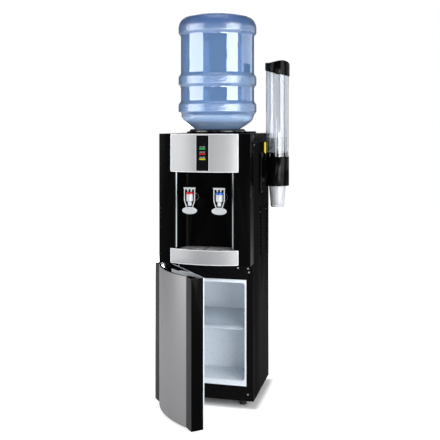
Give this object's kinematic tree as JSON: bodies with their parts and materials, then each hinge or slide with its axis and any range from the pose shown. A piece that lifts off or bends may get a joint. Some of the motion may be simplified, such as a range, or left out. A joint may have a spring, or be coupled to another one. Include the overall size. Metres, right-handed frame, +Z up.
{
  "type": "bottled water cooler",
  "caption": "Floor-standing water cooler with a bottle on top, hot and cold taps over a drip tray, a fridge with a swing door below and a tube of cups at the side.",
  "frame": {"origin": "on the floor, under the centre of the lower cabinet", "axes": "+Z up from the floor, -Y towards the front with the taps, +X towards the side with the cup tube"},
  "size_m": [0.4243, 0.5613, 1.2965],
  "materials": {
    "black_plastic": "glossy moulded black ABS",
    "dark_steel": "dark grey powder-coated steel sheet",
    "zinc_steel": "zinc-plated pressed steel",
    "silver_plastic": "silver metallic painted ABS",
    "door_grey": "grey silver painted steel sheet",
    "window": "smoked glossy acrylic",
    "lamps": "small coloured lamp lenses, green, red and yellow",
    "white_plastic": "white moulded ABS",
    "red_plastic": "red moulded ABS",
    "blue_plastic": "blue moulded ABS",
    "green_plastic": "green moulded plastic",
    "grille_grey": "grey satin moulded plastic",
    "rubber": "black rubber",
    "gasket": "pale grey flexible seal",
    "foam": "rigid insulating foam",
    "tank_steel": "stainless steel sheet",
    "silicone": "clear silicone tube",
    "copper": "drawn copper tube",
    "board": "glass-fibre circuit board",
    "shelf": "clear moulded shelf",
    "bottle": "translucent blue polycarbonate",
    "clear_tube": "clear extruded acrylic",
    "cups": "translucent thin polypropylene"
  },
  "bodies": {
    "cabinet": {"base_frame": "dark_steel", "feet": "rubber", "side_panel_left": "dark_steel", "side_panel_right": "dark_steel", "rear_panel": "dark_steel", "rear_grille": "dark_steel", "deck_plate": "zinc_steel", "front_shell": "black_plastic", "lower_frame": "black_plastic", "top_cover": "black_plastic", "bottle_collar": "black_plastic", "feed_probe": "white_plastic", "silver_panel": "silver_plastic", "display_window": "window", "indicator_lights": "lamps", "hot_tap_body": "white_plastic", "cold_tap_body": "white_plastic", "hot_tap_ring": "red_plastic", "cold_tap_ring": "blue_plastic", "tap_rosettes": "black_plastic", "tap_nuts": "white_plastic", "fridge_liner": "white_plastic", "fridge_shelf": "shelf", "fridge_foam": "foam", "evaporator": "tank_steel", "hinge_upper": "zinc_steel", "hinge_lower": "zinc_steel", "cold_tank": "tank_steel", "cold_tank_foam": "foam", "tank_shelf": "zinc_steel", "hot_tank": "tank_steel", "hot_tank_jacket": "foam", "water_tubes": "silicone", "compressor": "dark_steel", "compressor_mounts": "rubber", "copper_pipes": "copper", "condenser": "dark_steel", "control_board": "board", "switch_housings": "black_plastic", "rear_fittings": "black_plastic", "cup_bracket": "black_plastic", "cup_tube": "clear_tube", "cup_stack": "cups", "trim_fasteners": "zinc_steel"},
    "door": {"door_shell": "black_plastic", "door_panel": "door_grey", "door_liner": "white_plastic", "door_foam": "foam", "door_gasket": "gasket"},
    "hot_lever": {"hot_tap_lever": "white_plastic"},
    "cold_lever": {"cold_tap_lever": "white_plastic"},
    "drip_tray": {"drip_tray_pan": "black_plastic", "drip_tray_front": "silver_plastic"},
    "grille": {"drip_grille": "grille_grey"},
    "water_bottle": {"bottle": "bottle", "bottle_cap": "white_plastic"},
    "cup": {"lowest_cup": "cups"},
    "tube_cap": {"cup_cap": "black_plastic"},
    "hot_rocker": {"hot_switch": "red_plastic"},
    "cold_rocker": {"cold_switch": "green_plastic"}
  },
  "joints": [
    {"name": "door_hinge", "type": "hinge", "parent": "cabinet", "child": "door", "pos_m": [-0.145, -0.155, 0.24], "axis": [0, 0, -1], "range_deg": [-51, 59]},
    {"name": "hot_lever_hinge", "type": "hinge", "parent": "cabinet", "child": "hot_lever", "pos_m": [-0.0495, -0.1825, 0.707], "axis": [1, 0, 0], "range_deg": [0, 12], "stiffness_Nm_per_rad": 0.3},
    {"name": "cold_lever_hinge", "type": "hinge", "parent": "cabinet", "child": "cold_lever", "pos_m": [0.0495, -0.1825, 0.707], "axis": [1, 0, 0], "range_deg": [0, 12], "stiffness_Nm_per_rad": 0.3},
    {"name": "tray_slide", "type": "slide", "parent": "cabinet", "child": "drip_tray", "axis": [0, -1, 0], "range_m": [0, 0.12]},
    {"name": "grille_lift", "type": "slide", "parent": "drip_tray", "child": "grille", "axis": [0, 0, 1], "range_m": [0, 0.03]},
    {"name": "bottle_lift", "type": "slide", "parent": "cabinet", "child": "water_bottle", "axis": [0, 0, 1], "range_m": [0, 0.25]},
    {"name": "cup_pull", "type": "slide", "parent": "cabinet", "child": "cup", "axis": [0, 0, -1], "range_m": [0, 0.12]},
    {"name": "cup_cap_lift", "type": "slide", "parent": "cabinet", "child": "tube_cap", "axis": [0, 0, 1], "range_m": [0, 0.06]},
    {"name": "hot_switch_rock", "type": "hinge", "parent": "cabinet", "child": "hot_rocker", "pos_m": [0.072, 0.139, 0.658], "axis": [1, 0, 0], "range_deg": [-18, 0]},
    {"name": "cold_switch_rock", "type": "hinge", "parent": "cabinet", "child": "cold_rocker", "pos_m": [0.104, 0.139, 0.658], "axis": [1, 0, 0], "range_deg": [-18, 0]}
  ]
}
